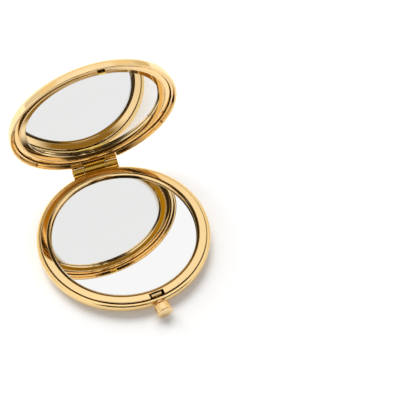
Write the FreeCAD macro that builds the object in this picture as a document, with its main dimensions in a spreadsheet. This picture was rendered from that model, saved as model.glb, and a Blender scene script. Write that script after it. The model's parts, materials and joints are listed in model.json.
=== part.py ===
import FreeCAD, Part
import math
import os
import Sketcher
from FreeCAD import Placement, Rotation, Vector

# A round pocket mirror: two shallow metal halves on a barrel hinge, a mirror in each half,
# and a push button at the front that draws a sprung catch off the lid's hook.
# The origin is the middle of the underside, +Z is up, the hinge lies along X at the back (+Y)
# and the button is at the front (-Y), a few degrees round towards +X. Pieces of the lid are
# drawn shut and stand open.

# Driving sizes, in millimetres unless a comment says otherwise
SIZES = {
    # Case: both halves
    "case_radius": 35.0,
    "foot_depth": 1.4,
    "floor_thickness": 0.8,
    "shoulder_round": 2.5,
    "seam_round": 0.6,
    "seam_gap": 0.2,
    "base_wall": 1.4,
    "lid_wall": 1.05,
    "step_width": 1.1,
    "step_depth": 1.0,
    # Cover plates on the outer faces, and the adhesive film under each
    "plate_edge_gap": 0.3,
    "plate_thickness": 0.6,
    "plate_turn_width": 5.2,
    "cover_edge_height": 0.4,
    "cover_edge_round": 0.25,
    "film_thickness": 0.1,
    "film_width": 1.2,
    # Mirrors and the foam discs behind them
    "mirror_thickness": 1.0,
    "base_mirror_drop": 0.8,
    "base_pad_thickness": 2.0,
    "lid_pad_thickness": 0.65,
    "pad_inset": 0.75,
    "bevel_width": 0.9,
    "bevel_depth": 0.25,
    "glass_edge_gap": 0.3,
    "glass_face_gap": 0.05,
    # Bezel rings that hold the mirrors
    "bezel_gap": 0.25,
    "bezel_thickness": 0.7,
    "bezel_leg": 0.6,
    "bezel_edge_round": 0.25,
    "lip_hold": 0.65,
    "base_ring_height": 0.9,
    "base_ring_fall": 0.18,
    "base_lip_width": 1.2,
    "base_lip_drop": 0.5,
    "base_lip_round": 1.7,
    "lid_ring_rise": 0.65,
    "lid_ring_width": 1.85,
    "bead_width": 0.6,
    "bead_radius": 0.35,
    "lid_slope_width": 2.05,
    "lid_slope_drop": 0.3,
    # Barrel hinge; the open angle is in degrees
    "open_angle": 83.5,
    "hinge_drop": 0.2,
    "barrel_radius": 1.4,
    "pin_radius": 0.6,
    "pin_clearance": 0.03,
    "side_knuckle_length": 4.8,
    "centre_knuckle_length": 9.3,
    "knuckle_gap": 0.2,
    "leaf_thickness": 0.9,
    "leaf_seat_gap": 0.05,
    "base_leaf_inset": 0.15,
    "base_leaf_setback": 0.25,
    "base_leaf_drop": 0.1,
    "lid_leaf_inset": 0.3,
    "lid_leaf_setback": 0.25,
    "seat_edge_height": 0.3,
    "seat_front_drop": 0.15,
    "lid_notch_margin": 0.2,
    # Push button and its bush; the latch's turn round the case is in degrees
    "latch_turn": 5.3,
    "button_travel": 0.65,
    "knob_radius": 3.25,
    "knob_length": 3.1,
    "knob_back_round": 0.3,
    "knob_edge_round": 0.35,
    "knob_dome_height": 0.45,
    "knob_stop_gap": 0.8,
    "shank_radius": 0.8,
    "shank_clearance": 0.05,
    "bush_radius": 1.3,
    "bush_flange_radius": 1.7,
    "bush_flange_thickness": 0.5,
    "bush_flange_proud": 0.15,
    "spotface_clearance": 0.1,
    # Catch, its slot in the base ring, and the lid's hook
    "hook_wall_gap": 0.3,
    "hook_width": 3.2,
    "hook_thickness": 0.55,
    "hook_clearance": 0.15,
    "hook_lip_reach": 0.5,
    "hook_lip_height": 0.4,
    "hook_foot_reach": 0.5,
    "hook_foot_height": 0.45,
    "hook_shank_gap": 0.15,
    "nose_reach": 0.5,
    "nose_height": 0.5,
    "cam_depth": 0.35,
    "catch_width": 4.5,
    "catch_thickness": 1.0,
    "catch_foot_clearance": 0.2,
    "catch_head_clearance": 0.1,
    "catch_back_clearance": 0.4,
    "catch_corner_round": 0.4,
    "slot_clearance": 0.1,
    "slot_side_clearance": 0.85,
    # Catch spring and the bracket that it pushes against
    "spring_space": 5.1,
    "spring_coil_radius": 0.65,
    "wire_radius": 0.15,
    "spring_floor_gap": 0.1,
    "bracket_width": 5.0,
    "bracket_thickness": 0.6,
    "bracket_foot_height": 0.4,
    "bracket_heel": 1.7,
    "peg_radius": 0.35,
    "peg_length": 1.2,
    "recess_margin": 0.9,
    # Length by which a cut runs past what it cuts
    "overrun": 2.0,
}

# Places worked out from the sizes above
PLACES = {
    # Levels of the base, from the underside up
    "film_bottom": "foot_depth - film_thickness",
    "floor_top": "foot_depth + floor_thickness",
    "base_glass_bottom": "floor_top + base_pad_thickness",
    "base_glass_top": "base_glass_bottom + mirror_thickness",
    "base_bevel_z": "base_glass_top - bevel_depth",
    "half_height": "base_glass_top + base_mirror_drop",
    "rim_height": "half_height - foot_depth",
    "base_shoulder_z": "foot_depth + shoulder_round",
    "base_seam_start": "half_height - seam_round",
    "base_ring_top": "half_height + base_ring_height",
    "base_ring_outer_z": "base_ring_top - base_ring_fall",
    "base_ring_edge_z": "base_ring_outer_z - bezel_edge_round",
    "base_ring_under": "base_ring_top - bezel_thickness",
    "base_lip_top": "base_ring_top - base_lip_drop",
    "base_lip_bottom": "base_glass_top + glass_face_gap",
    # Levels of the lid while it is shut, from the seam up and from its top down
    "lid_seam": "half_height + seam_gap",
    "lid_seam_start": "lid_seam + seam_round",
    "lid_step": "lid_seam + step_depth",
    "lid_top": "lid_seam + rim_height",
    "lid_shoulder_z": "lid_top - shoulder_round",
    "lid_floor": "lid_top - floor_thickness",
    "lid_glass_back": "lid_floor - lid_pad_thickness",
    "lid_glass_face": "lid_glass_back - mirror_thickness",
    "lid_bevel_z": "lid_glass_face + bevel_depth",
    "lid_lip_back": "lid_glass_face - glass_face_gap",
    "lid_ring_face": "lid_glass_face - lid_ring_rise",
    "lid_ring_edge_z": "lid_ring_face + bezel_edge_round",
    "lid_ring_under": "lid_ring_face + bezel_thickness",
    "lid_lip_face": "lid_ring_face + lid_slope_drop",
    "cover_bottom": "lid_top + film_thickness",
    "cover_edge_z": "lid_top + cover_edge_height",
    "cover_round_z": "cover_edge_z - cover_edge_round",
    "cover_top": "lid_top + foot_depth",
    "cover_under": "cover_top - plate_thickness",
    # Radii of the shells and plates
    "shoulder_start": "case_radius - shoulder_round",
    "seam_edge": "case_radius - seam_round",
    "base_wall_inside": "case_radius - base_wall",
    "lid_wall_inside": "case_radius - lid_wall",
    "lid_step_inside": "lid_wall_inside - step_width",
    "plate_radius": "shoulder_start - plate_edge_gap",
    "plate_flat_radius": "plate_radius - plate_turn_width",
    "plate_turn_radius": "(plate_turn_width ^ 2 + film_bottom ^ 2) / (2 * film_bottom)",
    "plate_inner_turn": "plate_turn_radius - plate_thickness",
    "plate_turn_drop": "plate_turn_radius - film_bottom",
    "plate_rim_inside": "plate_flat_radius + sqrt(plate_inner_turn ^ 2 - plate_turn_drop ^ 2)",
    "film_inside": "plate_radius - film_width",
    "cover_round_radius": "plate_radius - cover_edge_round",
    "cover_rise": "cover_top - cover_edge_z",
    "cover_dome_radius": "(cover_round_radius ^ 2 + cover_rise ^ 2) / (2 * cover_rise)",
    "cover_inner_dome": "cover_dome_radius - plate_thickness",
    "cover_dome_drop": "cover_dome_radius - cover_top + cover_bottom",
    "cover_hollow": "sqrt(cover_inner_dome ^ 2 - cover_dome_drop ^ 2)",
    # Hook, catch and slot, from the base's wall inward
    "hook_outside": "base_wall_inside - hook_wall_gap",
    "hook_inside": "hook_outside - hook_thickness",
    "hook_foot_radius": "hook_outside + hook_foot_reach",
    "hook_lip_radius": "hook_inside - hook_lip_reach",
    "hook_cam_radius": "hook_lip_radius + cam_depth",
    "nose_radius": "hook_inside - hook_clearance",
    "cam_radius": "nose_radius - cam_depth",
    "cam_cut_radius": "nose_radius + overrun",
    "catch_outer_radius": "nose_radius - nose_reach",
    "catch_inner_radius": "catch_outer_radius - catch_thickness",
    "catch_half": "catch_width / 2",
    "catch_corner_half": "catch_half - catch_corner_round",
    "slot_inner_radius": "catch_inner_radius - slot_clearance",
    "slot_half": "catch_half + slot_side_clearance",
    "slot_width": "2 * slot_half",
    # Levels of the catch and the hook, from the ring down
    "catch_top": "base_ring_under - catch_head_clearance",
    "catch_bottom": "floor_top + catch_foot_clearance",
    "catch_corner_z": "catch_top - catch_corner_round",
    "cam_z": "catch_top - cam_depth",
    "cam_cut_z": "catch_top + overrun",
    "nose_bottom": "catch_top - nose_height",
    "hook_lip_top": "nose_bottom - hook_clearance",
    "hook_bottom": "hook_lip_top - hook_lip_height",
    "hook_cam_z": "hook_bottom + cam_depth",
    "hook_foot_bottom": "lid_step - hook_foot_height",
    "button_height": "hook_bottom - hook_shank_gap - shank_radius",
    # Radii of the base bezel, inside the pressed catch, and of the mirror in it
    "base_ring_outside": "base_wall_inside - bezel_gap",
    "base_ring_round": "base_ring_outside - bezel_edge_round",
    "base_leg_inside": "base_ring_outside - bezel_leg",
    "base_lip_root": "catch_inner_radius - button_travel - catch_back_clearance",
    "base_lip_radius": "base_lip_root - lip_hold",
    "base_ring_inside": "base_lip_radius + base_lip_width",
    "base_mirror_radius": "base_lip_root - glass_edge_gap",
    "base_bevel_radius": "base_mirror_radius - bevel_width",
    "base_pad_radius": "base_mirror_radius - pad_inset",
    "slot_front": "base_ring_outside + overrun",
    "ring_cut_level": "base_ring_top + overrun",
    # Radii of the lid bezel and of the mirror in it
    "lid_ring_outside": "lid_step_inside - bezel_gap",
    "lid_ring_round": "lid_ring_outside - bezel_edge_round",
    "lid_leg_inside": "lid_ring_outside - bezel_leg",
    "bead_outside": "lid_ring_outside - lid_ring_width",
    "bead_inside": "bead_outside - bead_width",
    "lid_lip_radius": "bead_inside - lid_slope_width",
    "lid_lip_root": "lid_lip_radius + lip_hold",
    "lid_mirror_radius": "lid_lip_root - glass_edge_gap",
    "lid_bevel_radius": "lid_mirror_radius - bevel_width",
    "lid_pad_radius": "lid_mirror_radius - pad_inset",
    # Hinge
    "hinge_y": "case_radius + barrel_radius",
    "hinge_z": "half_height - hinge_drop",
    "pin_bore": "pin_radius + pin_clearance",
    "knuckle_slot_length": "centre_knuckle_length + 2 * knuckle_gap",
    "barrel_length": "knuckle_slot_length + 2 * side_knuckle_length",
    "knuckle_slot_back": "hinge_y + barrel_radius + overrun",
    "knuckle_slot_top": "hinge_z + barrel_radius + overrun",
    "knuckle_slot_bottom": "hinge_z - barrel_radius - overrun",
    "base_leaf_back": "base_wall_inside - base_leaf_inset",
    "base_leaf_front": "case_radius - base_leaf_setback",
    "base_leaf_bottom": "hinge_z - barrel_radius",
    "base_arm_top": "base_leaf_bottom + leaf_thickness",
    "base_leaf_top": "half_height - base_leaf_drop",
    "base_notch_half": "barrel_length / 2 + leaf_seat_gap",
    "base_notch_front": "base_leaf_back - leaf_seat_gap",
    "base_cut_level": "half_height + overrun",
    "base_notch_depth": "base_cut_level - base_leaf_bottom",
    "notch_back": "case_radius + overrun",
    "lid_leaf_back": "lid_wall_inside - lid_leaf_inset",
    "lid_leaf_front": "case_radius - lid_leaf_setback",
    "lid_leaf_bottom": "lid_step - leaf_thickness",
    "lid_seat_back_z": "lid_step - seat_edge_height",
    "lid_seat_front_z": "lid_leaf_bottom + seat_front_drop",
    "lid_notch_half": "barrel_length / 2 + lid_notch_margin",
    "lid_notch_depth": "step_depth + overrun",
    "lid_shift_y": "hinge_y * (1 - cos(open_angle * 1 deg)) - hinge_z * sin(open_angle * 1 deg)",
    "lid_shift_z": "hinge_z * (1 - cos(open_angle * 1 deg)) + hinge_y * sin(open_angle * 1 deg)",
    # Button and bush, measured outward along the button's axis
    "latch_sine": "sin(latch_turn * 1 deg)",
    "latch_cosine": "cos(latch_turn * 1 deg)",
    "bush_flange_face": "case_radius + bush_flange_proud",
    "bush_flange_seat": "bush_flange_face - bush_flange_thickness",
    "bush_bore": "shank_radius + shank_clearance",
    "bush_hole_depth": "base_wall + 2 * overrun",
    "spotface_radius": "bush_flange_radius + spotface_clearance",
    "front_cut_level": "case_radius + overrun",
    "spotface_depth": "front_cut_level - bush_flange_seat",
    "knob_back": "bush_flange_face + button_travel + knob_stop_gap",
    "knob_back_edge": "knob_back + knob_back_round",
    "knob_back_radius": "knob_radius - knob_back_round",
    "knob_side_end": "knob_back + knob_length",
    "knob_edge_radius": "knob_radius - knob_edge_round",
    "knob_edge_end": "knob_side_end + knob_edge_round",
    "knob_tip": "knob_edge_end + knob_dome_height",
    "knob_dome_radius": "(knob_edge_radius ^ 2 + knob_dome_height ^ 2) / (2 * knob_dome_height)",
    # Spring and bracket, behind the catch
    "bracket_radius": "catch_inner_radius - spring_space",
    "bracket_back": "bracket_radius - bracket_thickness",
    "bracket_heel_radius": "bracket_back - bracket_heel",
    "bracket_foot_top": "floor_top + bracket_foot_height",
    "spring_outside": "spring_coil_radius + wire_radius",
    "spring_height": "floor_top + spring_floor_gap + spring_outside",
    "bracket_top": "spring_height + spring_outside",
    "spring_start": "bracket_radius + wire_radius",
    "spring_length": "spring_space - 2 * wire_radius",
    "recess_half": "bracket_width / 2 + recess_margin",
    "recess_back": "bracket_heel_radius - recess_margin",
    "recess_front": "base_pad_radius + overrun",
    "pad_cut_level": "base_glass_bottom + overrun",
}

FULL_TURN = 360
QUARTER_TURN = 90
SPRING_TURNS = 6
ARCS_PER_TURN = 4
SAMPLES_PER_TURN = 24

doc = FreeCAD.newDocument("compact_mirror")
sizes = doc.addObject("Spreadsheet::Sheet", "Sizes")


def fill_sheet():
    """Write every size and every worked-out place into its own named cell."""
    rows = [(name, str(number)) for name, number in SIZES.items()]
    rows += [(name, "=" + formula) for name, formula in PLACES.items()]
    for row, (name, text) in enumerate(rows, start=1):
        sizes.set(f"A{row}", name)
        sizes.set(f"B{row}", text)
        sizes.setAlias(f"B{row}", name)
    doc.recompute()


def value(name):
    """Number in a named cell; a minus in front of the name turns its sign."""
    if name == "0":
        return 0.0
    if name.startswith("-"):
        return -value(name[1:])
    return float(sizes.get(name))


def bind(thing, path, name):
    """Tie one property of an object to a named cell."""
    thing.setExpression(path, "Sizes." + name)


def new_body(label):
    body = doc.addObject("PartDesign::Body", label)
    body.Label = label
    return body


def sketch_on(body, role, name, lift="0", at_latch=False):
    """Sketch on one of the body's own planes, lifted along its normal by a named length.

    At the latch it is turned about the case's axis as well, so that it lies square to the button.
    """
    sketch = body.newObject("Sketcher::SketchObject", f"{body.Label}_{name}")
    plane = next(item for item in body.Origin.OriginFeatures if item.Role == role)
    sketch.AttachmentSupport = [(plane, "")]
    sketch.MapMode = "FlatFace"
    if at_latch:
        upright = Vector(0, 0, 1) if role == "XY_Plane" else Vector(0, 1, 0)
        sketch.AttachmentOffset = Placement(Vector(), Rotation(upright, value("latch_turn")))
        bind(sketch, "AttachmentOffset.Rotation.Angle", "latch_turn")
    if lift != "0" and at_latch and role == "XZ_Plane":
        bind(sketch, "AttachmentOffset.Base.x", lift + " * Sizes.latch_sine")
        bind(sketch, "AttachmentOffset.Base.z", lift + " * Sizes.latch_cosine")
    elif lift != "0":
        bind(sketch, "AttachmentOffset.Base.z", lift)
    return sketch


def hold_point(sketch, edge, end, x, y):
    """Hold an end of an edge at two named distances from the sketch's origin."""
    for kind, axis, name in (("DistanceX", -2, x), ("DistanceY", -1, y)):
        if name == "0":
            sketch.addConstraint(Sketcher.Constraint("PointOnObject", edge, end, axis))
            continue
        if name.startswith("-"):
            rule = Sketcher.Constraint(kind, edge, end, -1, 1, value(name[1:]))
        else:
            rule = Sketcher.Constraint(kind, -1, 1, edge, end, value(name))
        place = sketch.addConstraint(rule)
        bind(sketch, f"Constraints[{place}]", name.lstrip("-"))


def hold_radius(sketch, edge, name):
    place = sketch.addConstraint(Sketcher.Constraint("Radius", edge, value(name)))
    bind(sketch, f"Constraints[{place}]", name)


def arc_between(start, end, radius, turn):
    """Arc of under a half circle; turn is 1 where it bends to the left and -1 to the right."""
    chord = end - start
    reach = math.sqrt(radius ** 2 - (chord.Length / 2) ** 2)
    centre = (start + end) / 2 + Vector(-chord.y, chord.x, 0).normalize() * reach * turn
    first, last = (start, end) if turn > 0 else (end, start)
    from_angle = math.atan2(first.y - centre.y, first.x - centre.x)
    to_angle = math.atan2(last.y - centre.y, last.x - centre.x)
    return Part.ArcOfCircle(Part.Circle(centre, Vector(0, 0, 1), radius), from_angle, to_angle)


def draw(sketch, outline):
    """Closed outline through named corners; one with a radius and a turn is reached by an arc."""
    spots = [Vector(value(corner[0]), value(corner[1]), 0) for corner in outline]
    ends = []
    for number, corner in enumerate(outline):
        if len(corner) == 2:
            edge = Part.LineSegment(spots[number - 1], spots[number])
            ends.append((1, 2))
        else:
            edge = arc_between(spots[number - 1], spots[number], value(corner[2]), corner[3])
            ends.append((1, 2) if corner[3] > 0 else (2, 1))
        sketch.addGeometry(edge, False)
    for number, corner in enumerate(outline):
        follower = (number + 1) % len(outline)
        meet = Sketcher.Constraint("Coincident", number, ends[number][1], follower, ends[follower][0])
        sketch.addConstraint(meet)
        hold_point(sketch, number, ends[number][1], corner[0], corner[1])
        if len(corner) > 2:
            hold_radius(sketch, number, corner[2])


def draw_circle(sketch, x, y, radius):
    centre = Vector(value(x), value(y), 0)
    edge = sketch.addGeometry(Part.Circle(centre, Vector(0, 0, 1), value(radius)), False)
    hold_point(sketch, edge, 3, x, y)
    hold_radius(sketch, edge, radius)


def draw_box(sketch, half_width, low, high):
    """Rectangle that lies evenly about the sketch's upright axis."""
    draw(sketch, [("-" + half_width, low), (half_width, low), (half_width, high), ("-" + half_width, high)])


def turn_about_upright(body, sketch):
    """Full turn of a half section about its sketch's upright axis."""
    solid = body.newObject("PartDesign::Revolution", body.Label + "_turned")
    solid.Profile = sketch
    solid.ReferenceAxis = (sketch, ["V_Axis"])
    solid.Angle = FULL_TURN


def revolve(body, outline):
    """Turn a half section, drawn as radius and height, about the body's Z axis."""
    sketch = sketch_on(body, "XZ_Plane", "section")
    draw(sketch, outline)
    turn_about_upright(body, sketch)


def revolve_on_button(body, outline):
    """Turn a half section, drawn as radius and distance out of the case, about the button's axis."""
    sketch = sketch_on(body, "XY_Plane", "section", "button_height", at_latch=True)
    flipped = []
    for radius, distance, *arc in outline:
        turned_arc = [arc[0], -arc[1]] if arc else []
        flipped.append((radius, "-" + distance, *turned_arc))
    draw(sketch, flipped)
    turn_about_upright(body, sketch)


def pad(body, sketch, length, both_ways=False):
    solid = body.newObject("PartDesign::Pad", sketch.Label + "_pad")
    solid.Profile = sketch
    solid.SideType = "Symmetric" if both_ways else "One side"
    bind(solid, "Length", length)


def cut(body, sketch, depth=None, both_ways=False):
    """Pocket against the sketch's normal; with no depth it goes right through."""
    doc.recompute()
    before = body.Shape.Volume
    pocket = body.newObject("PartDesign::Pocket", sketch.Label + "_cut")
    pocket.Profile = sketch
    pocket.SideType = "Symmetric" if both_ways else "One side"
    if depth:
        bind(pocket, "Length", depth)
    else:
        pocket.Type = "ThroughAll"
    doc.recompute()
    if body.Shape.Volume >= before:
        raise RuntimeError(pocket.Label + " removes nothing")


def open_with_lid(body):
    """Stand a piece of the lid, drawn shut, in the open rest pose about the hinge."""
    body.Placement = Placement(Vector(), Rotation(Vector(-1, 0, 0), value("open_angle")))
    bind(body, "Placement.Rotation.Angle", "open_angle")
    bind(body, "Placement.Base.y", "lid_shift_y")
    bind(body, "Placement.Base.z", "lid_shift_z")


def make_base_shell():
    """Pan with a rolled shoulder; notched for the hinge leaf and drilled for the bush."""
    body = new_body("base_shell")
    revolve(body, [
        ("0", "foot_depth"),
        ("shoulder_start", "foot_depth"),
        ("case_radius", "base_shoulder_z", "shoulder_round", 1),
        ("case_radius", "base_seam_start"),
        ("seam_edge", "half_height", "seam_round", 1),
        ("base_wall_inside", "half_height"),
        ("base_wall_inside", "floor_top"),
        ("0", "floor_top"),
    ])
    notch = sketch_on(body, "XY_Plane", "hinge_notch", "base_cut_level")
    draw_box(notch, "base_notch_half", "base_notch_front", "notch_back")
    cut(body, notch, "base_notch_depth")
    hole = sketch_on(body, "XZ_Plane", "bush_hole", "front_cut_level", at_latch=True)
    draw_circle(hole, "0", "button_height", "bush_radius")
    cut(body, hole, "bush_hole_depth")
    spotface = sketch_on(body, "XZ_Plane", "bush_spotface", "front_cut_level", at_latch=True)
    draw_circle(spotface, "0", "button_height", "spotface_radius")
    cut(body, spotface, "spotface_depth")


def make_base_plate():
    """Dished bottom plate: a flat foot with a curved edge that rises to the shell."""
    revolve(new_body("base_plate"), [
        ("0", "0"),
        ("plate_flat_radius", "0"),
        ("plate_radius", "film_bottom", "plate_turn_radius", 1),
        ("plate_rim_inside", "film_bottom"),
        ("plate_flat_radius", "plate_thickness", "plate_inner_turn", -1),
        ("0", "plate_thickness"),
    ])


def make_film(label, low, high):
    """Ring of adhesive film that fixes a cover plate's rim to its shell."""
    body = new_body(label)
    revolve(body, [
        ("film_inside", low),
        ("plate_radius", low),
        ("plate_radius", high),
        ("film_inside", high),
    ])
    return body


def make_base_pad():
    """Foam disc under the base mirror, cut away at the front for the catch spring."""
    body = new_body("base_mirror_pad")
    revolve(body, [
        ("0", "floor_top"),
        ("base_pad_radius", "floor_top"),
        ("base_pad_radius", "base_glass_bottom"),
        ("0", "base_glass_bottom"),
    ])
    recess = sketch_on(body, "XY_Plane", "spring_recess", "pad_cut_level", at_latch=True)
    draw_box(recess, "recess_half", "-recess_front", "-recess_back")
    cut(body, recess)


def make_base_mirror():
    revolve(new_body("base_mirror"), [
        ("0", "base_glass_bottom"),
        ("base_mirror_radius", "base_glass_bottom"),
        ("base_mirror_radius", "base_bevel_z"),
        ("base_bevel_radius", "base_glass_top"),
        ("0", "base_glass_top"),
    ])


def make_base_bezel():
    """Raised ring that falls a little outward, with a rolled lip, an outer leg and the catch slot."""
    body = new_body("base_bezel")
    revolve(body, [
        ("base_leg_inside", "floor_top"),
        ("base_ring_outside", "floor_top"),
        ("base_ring_outside", "base_ring_edge_z"),
        ("base_ring_round", "base_ring_outer_z", "bezel_edge_round", 1),
        ("base_ring_inside", "base_ring_top"),
        ("base_lip_radius", "base_lip_top", "base_lip_round", 1),
        ("base_lip_radius", "base_lip_bottom"),
        ("base_lip_root", "base_lip_bottom"),
        ("base_lip_root", "base_ring_under"),
        ("base_leg_inside", "base_ring_under"),
    ])
    slot = sketch_on(body, "XY_Plane", "catch_slot", "ring_cut_level", at_latch=True)
    draw_box(slot, "slot_half", "-slot_front", "-slot_inner_radius")
    cut(body, slot)


def add_barrel(body, length):
    """Round knuckle about the hinge axis."""
    knuckle = sketch_on(body, "YZ_Plane", "knuckle")
    draw_circle(knuckle, "hinge_y", "hinge_z", "barrel_radius")
    pad(body, knuckle, length, both_ways=True)


def bore_barrel(body, radius):
    bore = sketch_on(body, "YZ_Plane", "pin_bore")
    draw_circle(bore, "hinge_y", "hinge_z", radius)
    cut(body, bore, "barrel_length", both_ways=True)


def make_base_hinge_leaf():
    """Bar seated in the base's notch, with a knuckle at each end and a gap for the lid's knuckle."""
    body = new_body("base_hinge_leaf")
    leaf = sketch_on(body, "YZ_Plane", "leaf")
    draw(leaf, [
        ("base_leaf_back", "base_leaf_bottom"),
        ("hinge_y", "base_leaf_bottom"),
        ("hinge_y", "base_arm_top"),
        ("base_leaf_front", "base_arm_top"),
        ("base_leaf_front", "base_leaf_top"),
        ("base_leaf_back", "base_leaf_top"),
    ])
    pad(body, leaf, "barrel_length", both_ways=True)
    add_barrel(body, "barrel_length")
    gap = sketch_on(body, "YZ_Plane", "knuckle_gap")
    draw(gap, [
        ("base_leaf_front", "knuckle_slot_bottom"),
        ("knuckle_slot_back", "knuckle_slot_bottom"),
        ("knuckle_slot_back", "knuckle_slot_top"),
        ("base_leaf_front", "knuckle_slot_top"),
    ])
    cut(body, gap, "knuckle_slot_length", both_ways=True)
    bore_barrel(body, "pin_radius")


def make_hinge_pin():
    body = new_body("hinge_pin")
    section = sketch_on(body, "YZ_Plane", "section")
    draw_circle(section, "hinge_y", "hinge_z", "pin_radius")
    pad(body, section, "barrel_length", both_ways=True)


def make_latch_bush():
    """Flanged bush in the front wall that guides the button's shank."""
    revolve_on_button(new_body("latch_bush"), [
        ("bush_bore", "base_wall_inside"),
        ("bush_radius", "base_wall_inside"),
        ("bush_radius", "bush_flange_seat"),
        ("bush_flange_radius", "bush_flange_seat"),
        ("bush_flange_radius", "bush_flange_face"),
        ("bush_bore", "bush_flange_face"),
    ])


def make_spring_bracket():
    """Angle on the floor of the base, with a peg that keeps the spring in line."""
    body = new_body("spring_bracket")
    angle = sketch_on(body, "YZ_Plane", "angle", at_latch=True)
    draw(angle, [
        ("-bracket_radius", "floor_top"),
        ("-bracket_heel_radius", "floor_top"),
        ("-bracket_heel_radius", "bracket_foot_top"),
        ("-bracket_back", "bracket_foot_top"),
        ("-bracket_back", "bracket_top"),
        ("-bracket_radius", "bracket_top"),
    ])
    pad(body, angle, "bracket_width", both_ways=True)
    peg = sketch_on(body, "XZ_Plane", "peg", "bracket_radius", at_latch=True)
    draw_circle(peg, "0", "spring_height", "peg_radius")
    pad(body, peg, "peg_length")


def make_lid_shell():
    """Upper half: a rim that drops over the base ring, with a step inside it."""
    body = new_body("lid_shell")
    revolve(body, [
        ("0", "lid_floor"),
        ("lid_step_inside", "lid_floor"),
        ("lid_step_inside", "lid_step"),
        ("lid_wall_inside", "lid_step"),
        ("lid_wall_inside", "lid_seam"),
        ("seam_edge", "lid_seam"),
        ("case_radius", "lid_seam_start", "seam_round", 1),
        ("case_radius", "lid_shoulder_z"),
        ("shoulder_start", "lid_top", "shoulder_round", 1),
        ("0", "lid_top"),
    ])
    notch = sketch_on(body, "XY_Plane", "hinge_notch", "lid_step")
    draw_box(notch, "lid_notch_half", "0", "notch_back")
    cut(body, notch, "lid_notch_depth")
    open_with_lid(body)


def make_lid_cover():
    """Thin domed plate over the outer face of the lid."""
    body = new_body("lid_cover")
    revolve(body, [
        ("plate_radius", "cover_bottom"),
        ("plate_radius", "cover_round_z"),
        ("cover_round_radius", "cover_edge_z", "cover_edge_round", 1),
        ("0", "cover_top", "cover_dome_radius", 1),
        ("0", "cover_under"),
        ("cover_hollow", "cover_bottom", "cover_inner_dome", -1),
    ])
    open_with_lid(body)


def make_lid_pad():
    """Thin foam disc between the lid and its mirror."""
    body = new_body("lid_mirror_pad")
    revolve(body, [
        ("0", "lid_glass_back"),
        ("lid_pad_radius", "lid_glass_back"),
        ("lid_pad_radius", "lid_floor"),
        ("0", "lid_floor"),
    ])
    open_with_lid(body)


def make_lid_mirror():
    body = new_body("lid_mirror")
    revolve(body, [
        ("0", "lid_glass_face"),
        ("lid_bevel_radius", "lid_glass_face"),
        ("lid_mirror_radius", "lid_bevel_z"),
        ("lid_mirror_radius", "lid_glass_back"),
        ("0", "lid_glass_back"),
    ])
    open_with_lid(body)


def make_lid_bezel():
    """Ring round the lid mirror: a flat land, a raised bead and a slope down to the glass."""
    body = new_body("lid_bezel")
    revolve(body, [
        ("lid_leg_inside", "lid_floor"),
        ("lid_leg_inside", "lid_ring_under"),
        ("lid_lip_root", "lid_ring_under"),
        ("lid_lip_root", "lid_lip_back"),
        ("lid_lip_radius", "lid_lip_back"),
        ("lid_lip_radius", "lid_lip_face"),
        ("bead_inside", "lid_ring_face"),
        ("bead_outside", "lid_ring_face", "bead_radius", 1),
        ("lid_ring_round", "lid_ring_face"),
        ("lid_ring_outside", "lid_ring_edge_z", "bezel_edge_round", 1),
        ("lid_ring_outside", "lid_floor"),
    ])
    open_with_lid(body)


def make_lid_hinge_leaf():
    """Sloped bar seated under the lid's step, with a leaf to the middle knuckle of the barrel."""
    body = new_body("lid_hinge_leaf")
    seat = sketch_on(body, "YZ_Plane", "seat")
    draw(seat, [
        ("lid_leaf_back", "lid_seat_back_z"),
        ("lid_leaf_front", "lid_seat_front_z"),
        ("lid_leaf_front", "lid_step"),
        ("lid_leaf_back", "lid_step"),
    ])
    pad(body, seat, "barrel_length", both_ways=True)
    leaf = sketch_on(body, "YZ_Plane", "leaf")
    draw(leaf, [
        ("lid_leaf_back", "lid_leaf_bottom"),
        ("hinge_y", "lid_leaf_bottom"),
        ("hinge_y", "lid_step"),
        ("lid_leaf_back", "lid_step"),
    ])
    pad(body, leaf, "centre_knuckle_length", both_ways=True)
    add_barrel(body, "centre_knuckle_length")
    bore_barrel(body, "pin_bore")
    open_with_lid(body)


def make_lid_hook():
    """Hook under the lid's step whose lip goes below the nose of the catch."""
    body = new_body("lid_hook")
    outline = sketch_on(body, "YZ_Plane", "outline", at_latch=True)
    draw(outline, [
        ("-hook_foot_radius", "lid_step"),
        ("-hook_foot_radius", "hook_foot_bottom"),
        ("-hook_outside", "hook_foot_bottom"),
        ("-hook_outside", "hook_bottom"),
        ("-hook_cam_radius", "hook_bottom"),
        ("-hook_lip_radius", "hook_cam_z"),
        ("-hook_lip_radius", "hook_lip_top"),
        ("-hook_inside", "hook_lip_top"),
        ("-hook_inside", "lid_step"),
    ])
    pad(body, outline, "hook_width", both_ways=True)
    open_with_lid(body)


def make_push_button():
    """Knob with a domed end, turned in one with the shank that carries the catch."""
    revolve_on_button(new_body("push_button"), [
        ("0", "catch_inner_radius"),
        ("shank_radius", "catch_inner_radius"),
        ("shank_radius", "knob_back"),
        ("knob_back_radius", "knob_back"),
        ("knob_radius", "knob_back_edge", "knob_back_round", 1),
        ("knob_radius", "knob_side_end"),
        ("knob_edge_radius", "knob_edge_end", "knob_edge_round", 1),
        ("0", "knob_tip", "knob_dome_radius", 1),
    ])


def catch_face(bottom):
    """Front view of the catch from a named level up, with rounded top corners."""
    return [
        ("-catch_half", bottom),
        ("catch_half", bottom),
        ("catch_half", "catch_corner_z"),
        ("catch_corner_half", "catch_top", "catch_corner_round", 1),
        ("-catch_corner_half", "catch_top"),
        ("-catch_half", "catch_corner_z", "catch_corner_round", 1),
    ]


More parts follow.
